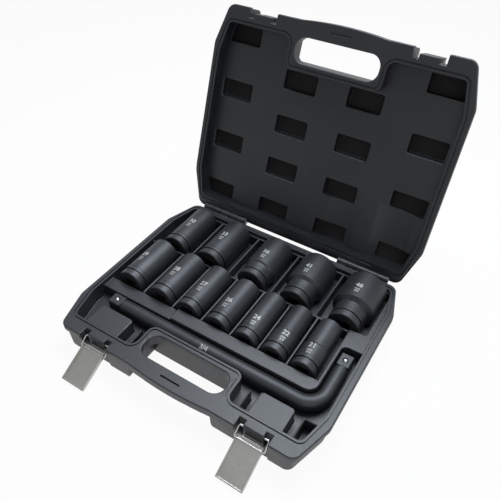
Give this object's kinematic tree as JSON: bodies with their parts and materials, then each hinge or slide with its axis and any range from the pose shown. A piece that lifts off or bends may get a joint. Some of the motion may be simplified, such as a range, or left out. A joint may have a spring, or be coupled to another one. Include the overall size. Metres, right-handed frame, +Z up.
{
  "type": "socket wrench set in case",
  "caption": "Deep impact sockets and an L-shaped square-drive handle in a hinged plastic carrying case with a shaped tray, hand grip and wire-bail latches.",
  "frame": {"origin": "centre of the base's flat underside", "axes": "+X along the case to the right seen from the grip side, +Y from the grip to the hinge, +Z up"},
  "size_m": [0.41, 0.5183, 0.3607],
  "materials": {
    "case_base": "matte",
    "case_lid": "matte",
    "socket_steel": "satin",
    "handle_steel": "satin",
    "latch_steel": "satin",
    "wire_steel": "satin",
    "pin_steel": "satin",
    "ball_steel": "polished",
    "spring_steel": "satin"
  },
  "bodies": {
    "base": {"base_shell": "case_base", "hinge_pin_left": "pin_steel", "hinge_pin_right": "pin_steel"},
    "lid": {"lid_shell": "case_lid"},
    "bail_left": {"latch_bail_left": "wire_steel"},
    "lever_left": {"latch_lever_left": "latch_steel"},
    "bail_right": {"latch_bail_right": "wire_steel"},
    "lever_right": {"latch_lever_right": "latch_steel"},
    "handle": {"l_handle": "handle_steel", "detent_spring_long": "spring_steel", "detent_spring_short": "spring_steel"},
    "ball_long": {"detent_ball_long": "ball_steel"},
    "ball_short": {"detent_ball_short": "ball_steel"},
    "socket_29": {"socket_29": "socket_steel"},
    "socket_28": {"socket_28": "socket_steel"},
    "socket_27": {"socket_27": "socket_steel"},
    "socket_26": {"socket_26": "socket_steel"},
    "socket_24": {"socket_24": "socket_steel"},
    "socket_22": {"socket_22": "socket_steel"},
    "socket_21": {"socket_21": "socket_steel"},
    "socket_30": {"socket_30": "socket_steel"},
    "socket_33": {"socket_33": "socket_steel"},
    "socket_36": {"socket_36": "socket_steel"},
    "socket_41": {"socket_41": "socket_steel"},
    "socket_46": {"socket_46": "socket_steel"}
  },
  "joints": [
    {"name": "lid_hinge", "type": "hinge", "parent": "base", "child": "lid", "pos_m": [0, 0.168, 0.04525], "axis": [-1, 0, 0], "range_deg": [-109, 0]},
    {"name": "bail_left_hinge", "type": "hinge", "parent": "base", "child": "bail_left", "pos_m": [-0.1275, -0.1525, 0.037], "axis": [1, 0, 0], "range_deg": [-108.98, 0]},
    {"name": "lever_left_hinge", "type": "hinge", "parent": "bail_left", "child": "lever_left", "pos_m": [-0.1275, -0.16457, 0.0265], "axis": [1, 0, 0], "range_deg": [0, 171.49]},
    {"name": "bail_right_hinge", "type": "hinge", "parent": "base", "child": "bail_right", "pos_m": [0.1275, -0.1525, 0.037], "axis": [1, 0, 0], "range_deg": [-108.98, 0]},
    {"name": "lever_right_hinge", "type": "hinge", "parent": "bail_right", "child": "lever_right", "pos_m": [0.1275, -0.16457, 0.0265], "axis": [1, 0, 0], "range_deg": [0, 171.49]},
    {"name": "handle_lift", "type": "slide", "parent": "base", "child": "handle", "axis": [0, 0, 1], "range_m": [0, 0.05]},
    {"name": "ball_long_press", "type": "slide", "parent": "handle", "child": "ball_long", "axis": [0, 0, -1], "range_m": [0, 0.0016], "stiffness_N_per_m": 2500, "springref_m": -0.001, "deforming": ["detent_spring_long"]},
    {"name": "ball_short_press", "type": "slide", "parent": "handle", "child": "ball_short", "axis": [0, 0, -1], "range_m": [0, 0.0016], "stiffness_N_per_m": 2500, "springref_m": -0.001, "deforming": ["detent_spring_short"]},
    {"name": "socket_29_lift", "type": "slide", "parent": "base", "child": "socket_29", "axis": [0, 0, 1], "range_m": [0, 0.06]},
    {"name": "socket_28_lift", "type": "slide", "parent": "base", "child": "socket_28", "axis": [0, 0, 1], "range_m": [0, 0.06]},
    {"name": "socket_27_lift", "type": "slide", "parent": "base", "child": "socket_27", "axis": [0, 0, 1], "range_m": [0, 0.06]},
    {"name": "socket_26_lift", "type": "slide", "parent": "base", "child": "socket_26", "axis": [0, 0, 1], "range_m": [0, 0.06]},
    {"name": "socket_24_lift", "type": "slide", "parent": "base", "child": "socket_24", "axis": [0, 0, 1], "range_m": [0, 0.06]},
    {"name": "socket_22_lift", "type": "slide", "parent": "base", "child": "socket_22", "axis": [0, 0, 1], "range_m": [0, 0.06]},
    {"name": "socket_21_lift", "type": "slide", "parent": "base", "child": "socket_21", "axis": [0, 0, 1], "range_m": [0, 0.06]},
    {"name": "socket_30_lift", "type": "slide", "parent": "base", "child": "socket_30", "axis": [0, 0, 1], "range_m": [0, 0.06]},
    {"name": "socket_33_lift", "type": "slide", "parent": "base", "child": "socket_33", "axis": [0, 0, 1], "range_m": [0, 0.06]},
    {"name": "socket_36_lift", "type": "slide", "parent": "base", "child": "socket_36", "axis": [0, 0, 1], "range_m": [0, 0.06]},
    {"name": "socket_41_lift", "type": "slide", "parent": "base", "child": "socket_41", "axis": [0, 0, 1], "range_m": [0, 0.06]},
    {"name": "socket_46_lift", "type": "slide", "parent": "base", "child": "socket_46", "axis": [0, 0, 1], "range_m": [0, 0.06]}
  ],
  "couplings": [
    {"joint": "lever_left_hinge", "follows": "bail_left_hinge", "ratio": -1.5735},
    {"joint": "lever_right_hinge", "follows": "bail_right_hinge", "ratio": -1.5735}
  ]
}
